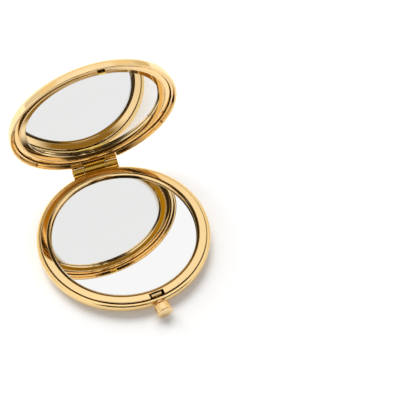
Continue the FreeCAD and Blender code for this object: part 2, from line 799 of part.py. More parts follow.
def make_latch_catch():
    """Upright plate on the shank, with a nose at its head that holds the lid's hook."""
    body = new_body("latch_catch")
    plate = sketch_on(body, "XZ_Plane", "plate", "catch_inner_radius", at_latch=True)
    draw(plate, catch_face("catch_bottom"))
    pad(body, plate, "catch_thickness")
    nose = sketch_on(body, "XZ_Plane", "nose", "catch_outer_radius", at_latch=True)
    draw(nose, catch_face("nose_bottom"))
    pad(body, nose, "nose_reach")
    cam = sketch_on(body, "YZ_Plane", "cam", at_latch=True)
    draw(cam, [
        ("-nose_radius", "cam_z"),
        ("-cam_radius", "catch_top"),
        ("-cam_radius", "cam_cut_z"),
        ("-cam_cut_radius", "cam_cut_z"),
        ("-cam_cut_radius", "cam_z"),
    ])
    cut(body, cam, "slot_width", both_ways=True)
    hole = sketch_on(body, "XZ_Plane", "shank_hole", "front_cut_level", at_latch=True)
    draw_circle(hole, "0", "button_height", "shank_radius")
    cut(body, hole)


def coil_point(share, radius, length, turns):
    """Point and unit direction of a coil about Z, at a share of its length."""
    angle = 2 * math.pi * turns * share
    rise = length / (2 * math.pi * turns)
    point = Vector(radius * math.cos(angle), radius * math.sin(angle), length * share)
    return point, Vector(-radius * math.sin(angle), radius * math.cos(angle), rise).normalize()


def arc_middle(start, direction, end):
    """Middle of the arc that leaves start in a direction and reaches end."""
    chord = end - start
    bend = chord.getAngle(direction)
    outward = direction - chord * (direction.dot(chord) / chord.dot(chord))
    return (start + end) / 2 + outward.normalize() * (chord.Length / 2 * math.tan(bend / 2))


def biarc(first, last):
    """Two arcs that join two points and keep to the directions at both."""
    (start, leave), (end, arrive) = first, last
    span = end - start
    along = span.dot(leave + arrive)
    spread = 2 * (1 - leave.dot(arrive))
    reach = (math.sqrt(along ** 2 + spread * span.dot(span)) - along) / spread
    joint = (start + end + (leave - arrive) * reach) / 2
    return [
        Part.Arc(start, arc_middle(start, leave, joint), joint).toShape(),
        Part.Arc(joint, arc_middle(end, arrive * -1, joint), end).toShape(),
    ]


def least_coil_gap(points, wire):
    """Smallest clear distance between turns, over points at least half a turn apart."""
    gaps = []
    for place, point in enumerate(points):
        for other in points[place + SAMPLES_PER_TURN // 2:]:
            gaps.append(point.distanceToPoint(other) - 2 * wire)
    return min(gaps)


def make_latch_spring():
    """Coil spring between the bracket and the catch, wound from one round wire."""
    coil, wire = value("spring_coil_radius"), value("wire_radius")
    length = value("spring_length")
    steps = SPRING_TURNS * ARCS_PER_TURN
    stations = [coil_point(step / steps, coil, length, SPRING_TURNS) for step in range(steps + 1)]
    edges = []
    for first, last in zip(stations, stations[1:]):
        edges += biarc(first, last)
    path = Part.Wire(edges)
    start, direction = stations[0]
    section = Part.Wire(Part.Circle(start, direction, wire).toShape())
    spring = doc.addObject("Part::Feature", "latch_spring")
    spring.Label = "latch_spring"
    spring.Shape = path.makePipeShell([section], True, False)
    towards_front = Rotation(Vector(0, 0, 1), value("latch_turn"))
    foot = towards_front.multVec(Vector(0, -value("spring_start"), value("spring_height")))
    spring.Placement = Placement(foot, towards_front.multiply(Rotation(Vector(1, 0, 0), QUARTER_TURN)))
    samples = path.discretize(Number=SPRING_TURNS * SAMPLES_PER_TURN)
    print("spring: least gap between turns", round(least_coil_gap(samples, wire), 3), "mm")


def write_parts():
    """Check every object and write each sub-part to a file of its own name."""
    doc.recompute()
    for thing in doc.Objects:
        if "Invalid" in thing.State or "Error" in thing.State:
            raise RuntimeError(f"{thing.Label} failed: {thing.State}")
    parts = [thing for thing in doc.Objects if thing.TypeId in ("PartDesign::Body", "Part::Feature")]
    for part in parts:
        if part.Shape.isNull() or not part.Shape.isValid():
            raise RuntimeError(part.Label + " has no valid shape")
    os.makedirs("parts", exist_ok=True)
    for part in parts:
        part.Shape.exportStep(f"parts/{part.Label}.step")
        print(part.Label, len(part.Shape.Solids), round(part.Shape.Volume, 2))


fill_sheet()
make_base_shell()
make_base_plate()
make_film("base_plate_film", "film_bottom", "foot_depth")
make_base_pad()
make_base_mirror()
make_base_bezel()
make_base_hinge_leaf()
make_hinge_pin()
make_latch_bush()
make_spring_bracket()
make_lid_shell()
make_lid_cover()
open_with_lid(make_film("lid_cover_film", "lid_top", "cover_bottom"))
make_lid_pad()
make_lid_mirror()
make_lid_bezel()
make_lid_hinge_leaf()
make_lid_hook()
make_push_button()
make_latch_catch()
make_latch_spring()
write_parts()
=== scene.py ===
import json
import math

import bmesh
import bpy
from mathutils import Matrix, Vector


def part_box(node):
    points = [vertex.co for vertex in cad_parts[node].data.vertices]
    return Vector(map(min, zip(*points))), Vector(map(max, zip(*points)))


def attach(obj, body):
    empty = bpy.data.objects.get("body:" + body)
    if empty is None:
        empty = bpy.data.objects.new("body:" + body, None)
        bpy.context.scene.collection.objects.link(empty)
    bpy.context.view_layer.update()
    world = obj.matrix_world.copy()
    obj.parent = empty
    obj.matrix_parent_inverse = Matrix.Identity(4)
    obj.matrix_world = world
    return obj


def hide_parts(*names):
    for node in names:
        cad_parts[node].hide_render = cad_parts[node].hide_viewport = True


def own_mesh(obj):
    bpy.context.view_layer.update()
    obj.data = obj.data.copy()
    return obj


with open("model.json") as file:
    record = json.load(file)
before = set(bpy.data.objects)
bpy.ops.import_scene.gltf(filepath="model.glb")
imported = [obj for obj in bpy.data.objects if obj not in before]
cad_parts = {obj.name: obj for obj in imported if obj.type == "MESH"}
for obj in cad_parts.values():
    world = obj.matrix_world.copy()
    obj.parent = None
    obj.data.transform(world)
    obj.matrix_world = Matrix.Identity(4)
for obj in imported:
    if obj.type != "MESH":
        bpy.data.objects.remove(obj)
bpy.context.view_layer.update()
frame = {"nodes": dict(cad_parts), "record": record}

# A round gold pocket mirror, open on a white table. Pieces are shaped in millimetres in the
# part's own frame and scaled to metres at the end; pieces of the lid are shaped shut, then opened.
MM = 0.001
ROUND_STEPS = 288
RING_STEPS = 720
SMALL_STEPS = 72
LEAST_CORNER_STEPS = 4
CORNER_STEPS_PER_MM = 7
MERGE_DISTANCE = 0.0001
SHARP_ANGLE = math.radians(38)

lid_joint, button_joint = frame["record"]["behaviour"]["joints"]
HINGE = Vector(lid_joint["pos_m"]) / MM
OPEN_ANGLE = math.radians(-lid_joint["range_deg"][0])
LATCH_TURN = math.atan2(-button_joint["axis"][0], button_joint["axis"][1])


# Sizes, in millimetres: outer sizes and levels from the frame, walls and edges by name

def reach(node, swing=0.0):
    """Largest radius, lowest and highest level of a node, with the lid's swing taken back."""
    back = Matrix.Rotation(swing, 3, "X")
    spots = [back @ (vert.co / MM - HINGE) + HINGE for vert in frame["nodes"][node].data.vertices]
    levels = [spot.z for spot in spots]
    return max(math.hypot(spot.x, spot.y) for spot in spots), min(levels), max(levels)


def box(node):
    """Lowest and highest corner of a node."""
    low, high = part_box(node)
    return low / MM, high / MM


CASE_RADIUS, BASE_BOTTOM, BASE_SEAM = reach("base_shell")
SHOULDER_ROUND = 2.5
SEAM_ROUND = 1.0
BROKEN_EDGE = 0.1
FLOOR_THICKNESS = 0.8
BASE_WALL = 1.4
BASE_INSIDE = CASE_RADIUS - BASE_WALL
BASE_FLOOR = BASE_BOTTOM + FLOOR_THICKNESS

PLATE_RADIUS, PLATE_BOTTOM, PLATE_TOP = reach("base_plate")
PLATE_THICKNESS = 0.6
PLATE_TURN_WIDTH = 5.2
# A round share is how much is taken of the longest round that fits between the next corners.
PLATE_ROUND_SHARE = 0.99

BASE_PAD_RADIUS, BASE_PAD_BOTTOM, BASE_PAD_TOP = reach("base_mirror_pad")
PAD_RIM_ROUND = 0.25
BASE_GLASS_RADIUS, BASE_GLASS_BOTTOM, base_glass_face = reach("base_mirror")
BASE_GLASS_RAISE = 0.4
BASE_GLASS_TOP = base_glass_face + BASE_GLASS_RAISE
GLASS_BEVEL_WIDTH = 0.9
GLASS_BEVEL_DEPTH = 0.25
GLASS_EDGE_GAP = 0.3
GLASS_FACE_GAP = 0.05

RING_RADIUS, RING_BOTTOM, RING_TOP = reach("base_bezel")
RING_THICKNESS = 0.7
RING_LEG = 0.6
RING_EDGE_ROUND = 0.25
RING_FALL = 0.18
LIP_HOLD = 0.65
LIP_WIDTH = 1.5
LIP_DROP = 0.5
LIP_ROUND_SHARE = 0.97
LIP_EDGE_ROUND = 0.08
LIP_EDGE = 0.3
LIP_UNDERCUT = 0.45

leaf_low, leaf_high = box("base_hinge_leaf")
BARREL_HALF = leaf_high.x
BARREL_RADIUS = leaf_high.z - HINGE.z
PIN_RADIUS = box("hinge_pin")[1].z - HINGE.z
PIN_CLEARANCE = 0.03
CENTRE_KNUCKLE = 9.3
KNUCKLE_GAP = 0.2
SIDE_KNUCKLE = BARREL_HALF - CENTRE_KNUCKLE / 2 - KNUCKLE_GAP
LEAF_BACK = leaf_low.y
LEAF_BOTTOM = leaf_low.z
LEAF_THICKNESS = 0.9
LEAF_SETBACK = 0.25
ARM_ROOT = 0.25
LEAF_DROP = 0.1
LEAF_SEAT_GAP = 0.05
LEAF_EDGE = 0.07
SEAT_EDGE_HEIGHT = 0.3
SEAT_FRONT_DROP = 0.15

LID_RADIUS, LID_SEAM, LID_TOP = reach("lid_shell", OPEN_ANGLE)
LID_WALL = 1.05
LID_STEP_WIDTH = 1.1
LID_SEAM_ROUND = 0.4
LID_STEP_DEPTH = 1.0
LID_STEP = LID_SEAM + LID_STEP_DEPTH
LID_INSIDE = LID_RADIUS - LID_WALL
LID_STEP_INSIDE = LID_INSIDE - LID_STEP_WIDTH
LID_FLOOR = LID_TOP - FLOOR_THICKNESS
LID_NOTCH_MARGIN = 0.2
LID_LEAF_REACH = 0.3
LID_LEAF_BACK = LID_INSIDE - LID_LEAF_REACH
COVER_RADIUS, COVER_BOTTOM, COVER_TOP = reach("lid_cover", OPEN_ANGLE)
COVER_EDGE_HEIGHT = 0.3
COVER_EDGE = COVER_BOTTOM + COVER_EDGE_HEIGHT
COVER_EDGE_ROUND = 0.25
COVER_ROUND_SHARE = 0.98
COVER_LIP_WIDTH = PLATE_TURN_WIDTH
LID_GLASS_SINK = 0.35
LID_GLASS_THICKNESS = 0.7
LID_PAD_RADIUS, _, LID_PAD_TOP = reach("lid_mirror_pad", OPEN_ANGLE)
LID_GLASS_RADIUS, _, lid_glass_seat = reach("lid_mirror", OPEN_ANGLE)
LID_GLASS_BACK = lid_glass_seat + LID_GLASS_SINK
LID_GLASS_FACE = LID_GLASS_BACK - LID_GLASS_THICKNESS
LID_RING_RADIUS, BEAD_FACE, LID_RING_BACK = reach("lid_bezel", OPEN_ANGLE)
BEAD_RISE = 0.17
LID_RING_FACE = BEAD_FACE + BEAD_RISE
LID_RING_WIDTH = 1.85
LID_RING_FALL = 0.2
LID_RING_EDGE_ROUND = 0.35
BEAD_WIDTH = 0.6
BEAD_ROUND = BEAD_WIDTH * 0.28
LID_SLOPE_DROP = 0.3

button_low, button_high = box("push_button")
BUTTON_HEIGHT = (button_low.z + button_high.z) / 2
KNOB_RADIUS = (button_high.z - button_low.z) / 2
KNOB_TIP = reach("push_button")[0]
KNOB_DOME = 0.25
KNOB_EDGE_ROUND = 0.2
KNOB_SIDE = 3.65
KNOB_BACK = KNOB_TIP - KNOB_DOME - KNOB_SIDE
KNOB_BACK_ROUND = 0.3
KNOB_CAP_INSET = 0.3
KNOB_CAP_RISE = 0.25
DOME_BEND_RADIUS = KNOB_RADIUS * 0.55
DOME_BEND_ROUND = KNOB_RADIUS * 0.25
DOME_BEND_DROP = KNOB_DOME * 0.3
SHANK_RADIUS = 0.8
SHANK_CLEARANCE = 0.05
BUSH_RADIUS = 1.3
BUSH_FLANGE_RADIUS = 1.7
BUSH_FLANGE_PROUD = 0.15
BUSH_FLANGE_THICKNESS = 0.5
BUSH_FLANGE_FACE = CASE_RADIUS + BUSH_FLANGE_PROUD
BUSH_FLANGE_SEAT = BUSH_FLANGE_FACE - BUSH_FLANGE_THICKNESS
SPOTFACE_CLEARANCE = 0.1

CATCH_HALF = 2.25
CATCH_THICKNESS = 1.0
CATCH_CORNER_ROUND = 0.4
CATCH_EDGE = 0.22
CATCH_FLOOR_GAP = 0.2
CATCH_RING_GAP = 0.1
CATCH_BOTTOM = BASE_FLOOR + CATCH_FLOOR_GAP
CATCH_TOP = RING_TOP - RING_THICKNESS - CATCH_RING_GAP
CATCH_INNER = 31.1
CATCH_OUTER = CATCH_INNER + CATCH_THICKNESS
NOSE_REACH = 0.5
NOSE_HEIGHT = 0.5
NOSE_ROOT = 0.25
CAM_DEPTH = 0.35
SLOT_SIDE_GAP = 0.85
SLOT_BACK_GAP = 0.1
SLOT_HALF = CATCH_HALF + SLOT_SIDE_GAP
SLOT_INNER = CATCH_INNER - SLOT_BACK_GAP
RECESS_HALF = 3.4
RECESS_BACK = 22.8
HOOK_HALF = 1.6
HOOK_WALL_GAP = 0.3
HOOK_NOSE_GAP = 0.15
HOOK_THICKNESS = 0.55
HOOK_LIP_REACH = 0.5
HOOK_LIP_THICKNESS = 0.4
HOOK_OUTSIDE = BASE_INSIDE - HOOK_WALL_GAP
HOOK_INSIDE = HOOK_OUTSIDE - HOOK_THICKNESS
HOOK_LIP = HOOK_INSIDE - HOOK_LIP_REACH
HOOK_LIP_TOP = CATCH_TOP - NOSE_HEIGHT - HOOK_NOSE_GAP
HOOK_BOTTOM = HOOK_LIP_TOP - HOOK_LIP_THICKNESS
HOOK_FOOT_REACH = 0.5
HOOK_FOOT_HEIGHT = 0.45
SMALL_EDGE = 0.04
OVERRUN = 3.0

spring_low, spring_high = box("latch_spring")
SPRING_HEIGHT = (spring_low.z + spring_high.z) / 2
SPRING_TURNS = 6
WIRE_RADIUS = 0.15
COIL_RADIUS = (spring_high.z - spring_low.z) / 2 - WIRE_RADIUS
SPRING_FOOT = Vector(button_joint["deforming_nodes"][0]["fixed_end_m"]) / MM
SPRING_SPACE = CATCH_INNER - SPRING_FOOT.xy.length


# Mesh tools

def softened_wire(outline, closed):
    """Wire in the XZ plane through (radius, height) corners; a third number rounds the corner."""
    mesh = bmesh.new()
    corners = [mesh.verts.new((corner[0], 0, corner[1])) for corner in outline]
    followers = corners[1:] + corners[:1] if closed else corners[1:]
    for start, end in zip(corners, followers):
        mesh.edges.new((start, end))
    for vert, corner in zip(corners, outline):
        if len(corner) > 2:
            steps = max(LEAST_CORNER_STEPS, round(corner[2] * CORNER_STEPS_PER_MM))
            bmesh.ops.bevel(
                mesh, geom=[vert], offset=corner[2], offset_type="OFFSET", segments=steps, profile=0.5,
                affect="VERTICES", material=-1)
    return mesh


def lathe(outline, closed=True, steps=ROUND_STEPS):
    """Solid turned about Z; an open outline starts and ends on the axis."""
    return spun(softened_wire(outline, closed), steps)


def spun(mesh, steps):
    """Full turn of a wire about Z."""
    bmesh.ops.spin(
        mesh, geom=mesh.verts[:] + mesh.edges[:], cent=(0, 0, 0), axis=(0, 0, 1), dvec=(0, 0, 0),
        angle=2 * math.pi, steps=steps, use_merge=True, use_duplicate=False)
    bmesh.ops.remove_doubles(mesh, verts=mesh.verts[:], dist=MERGE_DISTANCE)
    bmesh.ops.recalc_face_normals(mesh, faces=mesh.faces[:])
    return mesh


def thickened(mesh, way, edge, edge_steps):
    """A flat face pushed along a way into a solid with softened edges."""
    grown = bmesh.ops.extrude_face_region(mesh, geom=mesh.faces[:])["geom"]
    moved = [item for item in grown if isinstance(item, bmesh.types.BMVert)]
    bmesh.ops.translate(mesh, verts=moved, vec=way)
    bmesh.ops.recalc_face_normals(mesh, faces=mesh.faces[:])
    bmesh.ops.bevel(
        mesh, geom=mesh.edges[:], offset=edge, offset_type="OFFSET", segments=edge_steps, profile=0.5,
        affect="EDGES", material=-1, clamp_overlap=True)
    return mesh


def bar(outline, half_width, edge):
    """Bar along X with a (y, z) outline and softened edges."""
    mesh = bmesh.new()
    mesh.faces.new([mesh.verts.new((-half_width, y, z)) for y, z in outline])
    return thickened(mesh, (2 * half_width, 0, 0), edge, 2)


def block(low, high):
    """Plain box between two corners, used to carve."""
    mesh = bmesh.new()
    bmesh.ops.create_cube(mesh, size=1)
    size = Vector(high) - Vector(low)
    bmesh.ops.scale(mesh, verts=mesh.verts[:], vec=size)
    bmesh.ops.translate(mesh, verts=mesh.verts[:], vec=(Vector(low) + Vector(high)) / 2)
    return mesh


def turned(mesh, angle, axis, centre=(0, 0, 0)):
    bmesh.ops.rotate(mesh, verts=mesh.verts[:], cent=centre, matrix=Matrix.Rotation(angle, 3, axis))
    return mesh


def shifted(mesh, x=0.0, y=0.0, z=0.0):
    bmesh.ops.translate(mesh, verts=mesh.verts[:], vec=(x, y, z))
    return mesh


def opened(mesh):
    """A piece of the lid, swung from shut to its rest pose."""
    return turned(mesh, -OPEN_ANGLE, "X", HINGE)


def at_latch(mesh):
    """A piece drawn straight in front, turned round the case to where the latch is."""
    return turned(mesh, LATCH_TURN, "Z")


def along_hinge(mesh, x=0.0):
    """A piece turned about Z, laid along the hinge's axis."""
    return shifted(turned(mesh, math.pi / 2, "Y"), x, HINGE.y, HINGE.z)


def along_button(mesh):
    """A piece turned about Z, laid along the button's axis with Z pointing out of the case."""
    return at_latch(shifted(turned(mesh, math.pi / 2, "X"), z=BUTTON_HEIGHT))


def drill(radius, start, end):
    """Round bar along the button's axis, used to carve."""
    mesh = bmesh.new()
    bmesh.ops.create_cone(
        mesh, cap_ends=True, segments=SMALL_STEPS, radius1=radius, radius2=radius, depth=end - start)
    return along_button(shifted(mesh, z=(start + end) / 2))


def stored(name, mesh):
    """Mesh data with the shape of a bmesh, which is freed."""
    data = bpy.data.meshes.new(name)
    mesh.to_mesh(data)
    mesh.free()
    return data


def linked(name, data):
    """New object in the scene."""
    obj = bpy.data.objects.new(name, data)
    bpy.context.scene.collection.objects.link(obj)
    return obj


def joined(*meshes):
    """One mesh that holds several closed shells."""
    whole = meshes[0]
    for other in meshes[1:]:
        spare = stored("spare", other)
        whole.from_mesh(spare)
        bpy.data.meshes.remove(spare)
    return whole


def carved(mesh, *cutters):
    """The mesh with the cutters' space taken out."""
    for cutter in cutters:
        subject = linked("subject", stored("subject", mesh))
        tool = linked("tool", stored("tool", cutter))
        step = subject.modifiers.new("carve", "BOOLEAN")
        step.operation = "DIFFERENCE"
        step.solver = "EXACT"
        step.object = tool
        mesh = bmesh.new()
        mesh.from_object(subject, bpy.context.evaluated_depsgraph_get())
        for obj in (subject, tool):
            data = obj.data
            bpy.data.objects.remove(obj)
            bpy.data.meshes.remove(data)
    return mesh


def piece(name, mesh, finish, body, node):
    """Finished piece that rides on a body and stands for a node."""
    bmesh.ops.scale(mesh, vec=(MM, MM, MM), verts=mesh.verts[:])
    data = stored(name, mesh)
    data.materials.append(finish)
    data.polygons.foreach_set("use_smooth", [True] * len(data.polygons))
    data.set_sharp_from_angle(angle=SHARP_ANGLE)
    obj = linked(name, data)
    even = obj.modifiers.new("even_normals", "WEIGHTED_NORMAL")
    even.keep_sharp = True
    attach(obj, body)
    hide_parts(node)
    return obj


# Base

def base_rim():
    """Lower pan: rolled shoulder, a small round at the seam, hinge notch and bush hole."""
    pan = lathe([
        (0, BASE_BOTTOM),
        (CASE_RADIUS, BASE_BOTTOM, SHOULDER_ROUND),
        (CASE_RADIUS, BASE_SEAM, SEAM_ROUND),
        (BASE_INSIDE, BASE_SEAM, BROKEN_EDGE),
        (BASE_INSIDE, BASE_FLOOR),
        (0, BASE_FLOOR),
    ], closed=False)
    notch_half = BARREL_HALF + LEAF_SEAT_GAP
    return carved(
        pan,
        block((-notch_half, LEAF_BACK - LEAF_SEAT_GAP, LEAF_BOTTOM),
              (notch_half, CASE_RADIUS + OVERRUN, BASE_SEAM + OVERRUN)),
        drill(BUSH_RADIUS, BASE_INSIDE - OVERRUN, CASE_RADIUS + OVERRUN),
        drill(BUSH_FLANGE_RADIUS + SPOTFACE_CLEARANCE, BUSH_FLANGE_SEAT, CASE_RADIUS + OVERRUN))


def base_foot():
    """Dished bottom plate: a flat middle and a curved edge that rises to the pan."""
    tangent = (PLATE_TURN_WIDTH ** 2 + PLATE_TOP ** 2) / (2 * PLATE_TURN_WIDTH)
    corner = PLATE_RADIUS - PLATE_TURN_WIDTH + tangent
    return lathe([
        (0, PLATE_BOTTOM),
        (corner, PLATE_BOTTOM, tangent * PLATE_ROUND_SHARE),
        (PLATE_RADIUS, PLATE_TOP),
        (PLATE_RADIUS - 2 * PLATE_THICKNESS, PLATE_TOP),
        (corner - PLATE_THICKNESS / 4, PLATE_THICKNESS, PLATE_TURN_WIDTH / 4),
        (0, PLATE_THICKNESS),
    ], closed=False)


def base_pad():
    """Foam disc under the mirror, its rim pressed a little outwards, cut away for the spring."""
    middle = (BASE_PAD_BOTTOM + BASE_PAD_TOP) / 2
    disc = lathe([
        (0, BASE_PAD_BOTTOM),
        (BASE_PAD_RADIUS - BROKEN_EDGE, BASE_PAD_BOTTOM, BROKEN_EDGE),
        (BASE_PAD_RADIUS, middle, PAD_RIM_ROUND),
        (BASE_PAD_RADIUS - BROKEN_EDGE, BASE_PAD_TOP, BROKEN_EDGE),
        (0, BASE_PAD_TOP),
    ], closed=False)
    recess = block((-RECESS_HALF, -CASE_RADIUS, BASE_PAD_BOTTOM - OVERRUN),
                   (RECESS_HALF, -RECESS_BACK, BASE_PAD_TOP + OVERRUN))
    return carved(disc, at_latch(recess))


def base_glass():
    """Round mirror with a narrow bevel."""
    return lathe([
        (0, BASE_GLASS_BOTTOM),
        (BASE_GLASS_RADIUS, BASE_GLASS_BOTTOM, BROKEN_EDGE),
        (BASE_GLASS_RADIUS, BASE_GLASS_TOP - GLASS_BEVEL_DEPTH),
        (BASE_GLASS_RADIUS - GLASS_BEVEL_WIDTH, BASE_GLASS_TOP),
        (0, BASE_GLASS_TOP),
    ], closed=False)


def base_ring():
    """Raised ring that falls a little outward, with a rolled lip over the glass and the catch's slot."""
    lip_root = BASE_GLASS_RADIUS + GLASS_EDGE_GAP
    lip = lip_root - LIP_HOLD
    crest = lip + LIP_WIDTH
    tangent = (LIP_WIDTH ** 2 + LIP_DROP ** 2) / (2 * LIP_WIDTH)
    under = RING_TOP - RING_THICKNESS
    ring = lathe([
        (RING_RADIUS, RING_BOTTOM),
        (RING_RADIUS, RING_TOP - RING_FALL, RING_EDGE_ROUND),
        (crest, RING_TOP),
        (crest - tangent, RING_TOP, tangent * LIP_ROUND_SHARE),
        (lip, RING_TOP - LIP_DROP, LIP_EDGE_ROUND),
        (lip, RING_TOP - LIP_DROP - LIP_EDGE),
        (lip + LIP_UNDERCUT, RING_TOP - LIP_DROP - LIP_EDGE),
        (lip + LIP_UNDERCUT, BASE_GLASS_TOP + GLASS_FACE_GAP),
        (lip_root, BASE_GLASS_TOP + GLASS_FACE_GAP),
        (lip_root, under),
        (RING_RADIUS - RING_LEG, under),
        (RING_RADIUS - RING_LEG, RING_BOTTOM),
    ], steps=RING_STEPS)
    slot = block((-SLOT_HALF, -CASE_RADIUS - OVERRUN, 0), (SLOT_HALF, -SLOT_INNER, RING_TOP + OVERRUN))
    return carved(ring, at_latch(slot))


def knuckle(length, bore):
    """Hollow round knuckle about Z, with broken ends."""
    half = length / 2
    return lathe([
        (bore, -half),
        (BARREL_RADIUS, -half, BROKEN_EDGE),
        (BARREL_RADIUS, half, BROKEN_EDGE),
        (bore, half),
    ], steps=SMALL_STEPS)


def base_hinge():
    """Bar in the base's notch, with an arm and a knuckle at each end."""
    leaf_front = CASE_RADIUS - LEAF_SETBACK
    leaf_top = BASE_SEAM - LEAF_DROP
    arm_back = leaf_front - ARM_ROOT
    arm_top = LEAF_BOTTOM + LEAF_THICKNESS
    shells = [bar([
        (LEAF_BACK, LEAF_BOTTOM), (leaf_front, LEAF_BOTTOM), (leaf_front, leaf_top), (LEAF_BACK, leaf_top),
    ], BARREL_HALF, LEAF_EDGE)]
    for side in (-1, 1):
        middle = side * (BARREL_HALF - SIDE_KNUCKLE / 2)
        arm = bar([
            (arm_back, LEAF_BOTTOM), (HINGE.y, LEAF_BOTTOM), (HINGE.y, arm_top), (arm_back, arm_top),
        ], SIDE_KNUCKLE / 2, LEAF_EDGE)
        shells.append(shifted(arm, x=middle))
        shells.append(along_hinge(knuckle(SIDE_KNUCKLE, PIN_RADIUS), middle))
    return joined(*shells)


def barrel_pin():
    """Pin through the barrel, its ends slightly domed."""
    shoulder = BARREL_HALF - BROKEN_EDGE
    return along_hinge(lathe([
        (0, -BARREL_HALF),
        (PIN_RADIUS, -shoulder, BROKEN_EDGE),
        (PIN_RADIUS, shoulder, BROKEN_EDGE),
        (0, BARREL_HALF),
    ], closed=False, steps=SMALL_STEPS))


def front_bush():
    """Flanged bush that guides the button."""
    bore = SHANK_RADIUS + SHANK_CLEARANCE
    return along_button(lathe([
        (bore, BASE_INSIDE),
        (BUSH_RADIUS, BASE_INSIDE),
        (BUSH_RADIUS, BUSH_FLANGE_SEAT),
        (BUSH_FLANGE_RADIUS, BUSH_FLANGE_SEAT),
        (BUSH_FLANGE_RADIUS, BUSH_FLANGE_FACE, BROKEN_EDGE),
        (bore, BUSH_FLANGE_FACE),
    ], steps=SMALL_STEPS))


# Lid

def lid_rim():
    """Upper pan with a rolled shoulder, a step inside its rim and the hinge notch."""
    pan = lathe([
        (0, LID_FLOOR),
        (LID_STEP_INSIDE, LID_FLOOR),
        (LID_STEP_INSIDE, LID_STEP, BROKEN_EDGE),
        (LID_INSIDE, LID_STEP),
        (LID_INSIDE, LID_SEAM, BROKEN_EDGE),
        (LID_RADIUS, LID_SEAM, LID_SEAM_ROUND),
        (LID_RADIUS, LID_TOP, SHOULDER_ROUND),
        (0, LID_TOP),
    ], closed=False)
    notch_half = BARREL_HALF + LID_NOTCH_MARGIN
    notch = block((-notch_half, 0, LID_SEAM - OVERRUN), (notch_half, LID_RADIUS + OVERRUN, LID_STEP))
    return opened(carved(pan, notch))


def lid_dome():
    """Thin domed plate over the outer face, its edge softened."""
    round_start = COVER_RADIUS - COVER_EDGE_ROUND
    rise = COVER_TOP - COVER_EDGE
    dome_radius = (round_start ** 2 + rise ** 2) / (2 * rise)
    mesh = bmesh.new()
    crown = mesh.verts.new((0, 0, COVER_TOP))
    bmesh.ops.spin(
        mesh, geom=[crown], cent=(0, 0, COVER_TOP - dome_radius), axis=(0, 1, 0), dvec=(0, 0, 0),
        angle=math.asin(round_start / dome_radius), steps=SMALL_STEPS // 3,
        use_merge=False, use_duplicate=False)
    last = max(mesh.verts, key=lambda vert: vert.co.x)
    shoulder = mesh.verts.new((COVER_RADIUS, 0, COVER_EDGE))
    rest = [(COVER_RADIUS, COVER_BOTTOM), (COVER_RADIUS - COVER_LIP_WIDTH, COVER_BOTTOM),
            (0, COVER_TOP - PLATE_THICKNESS)]
    trail = [last, shoulder] + [mesh.verts.new((radius, 0, level)) for radius, level in rest]
    for start, end in zip(trail, trail[1:]):
        mesh.edges.new((start, end))
    bmesh.ops.bevel(
        mesh, geom=[shoulder], offset=COVER_EDGE_ROUND * COVER_ROUND_SHARE, offset_type="OFFSET",
        segments=LEAST_CORNER_STEPS, profile=0.5, affect="VERTICES", material=-1)
    return opened(spun(mesh, ROUND_STEPS))


def lid_pad():
    """Thin foam disc between the lid and its mirror."""
    middle = (LID_GLASS_BACK + LID_PAD_TOP) / 2
    return opened(lathe([
        (0, LID_GLASS_BACK),
        (LID_PAD_RADIUS - BROKEN_EDGE, LID_GLASS_BACK, BROKEN_EDGE),
        (LID_PAD_RADIUS, middle),
        (LID_PAD_RADIUS - BROKEN_EDGE, LID_PAD_TOP, BROKEN_EDGE),
        (0, LID_PAD_TOP),
    ], closed=False))


def lid_glass():
    """Round mirror with a narrow bevel, facing down when the lid is shut."""
    return opened(lathe([
        (0, LID_GLASS_FACE),
        (LID_GLASS_RADIUS - GLASS_BEVEL_WIDTH, LID_GLASS_FACE),
        (LID_GLASS_RADIUS, LID_GLASS_FACE + GLASS_BEVEL_DEPTH),
        (LID_GLASS_RADIUS, LID_GLASS_BACK, BROKEN_EDGE),
        (0, LID_GLASS_BACK),
    ], closed=False))


def lid_ring():
    """Ring round the lid mirror: a land, a raised bead, a gentle slope and a wall down to the glass."""
    lip_root = LID_GLASS_RADIUS + GLASS_EDGE_GAP
    lip = lip_root - LIP_HOLD
    lip_back = LID_GLASS_FACE - GLASS_FACE_GAP
    under = LID_RING_FACE + RING_THICKNESS
    bead_outside = LID_RING_RADIUS - LID_RING_WIDTH
    bead_inside = bead_outside - BEAD_WIDTH
    return opened(lathe([
        (LID_RING_RADIUS - RING_LEG, LID_RING_BACK),
        (LID_RING_RADIUS - RING_LEG, under),
        (lip_root, under),
        (lip_root, lip_back),
        (lip, lip_back),
        (lip, LID_RING_FACE + LID_SLOPE_DROP, LIP_EDGE_ROUND),
        (bead_inside, LID_RING_FACE),
        (bead_inside + BEAD_ROUND / 2, BEAD_FACE, BEAD_ROUND),
        (bead_outside - BEAD_ROUND / 2, BEAD_FACE, BEAD_ROUND),
        (bead_outside, LID_RING_FACE),
        (LID_RING_RADIUS, LID_RING_FACE + LID_RING_FALL, LID_RING_EDGE_ROUND),
        (LID_RING_RADIUS, LID_RING_BACK),
    ], steps=RING_STEPS))


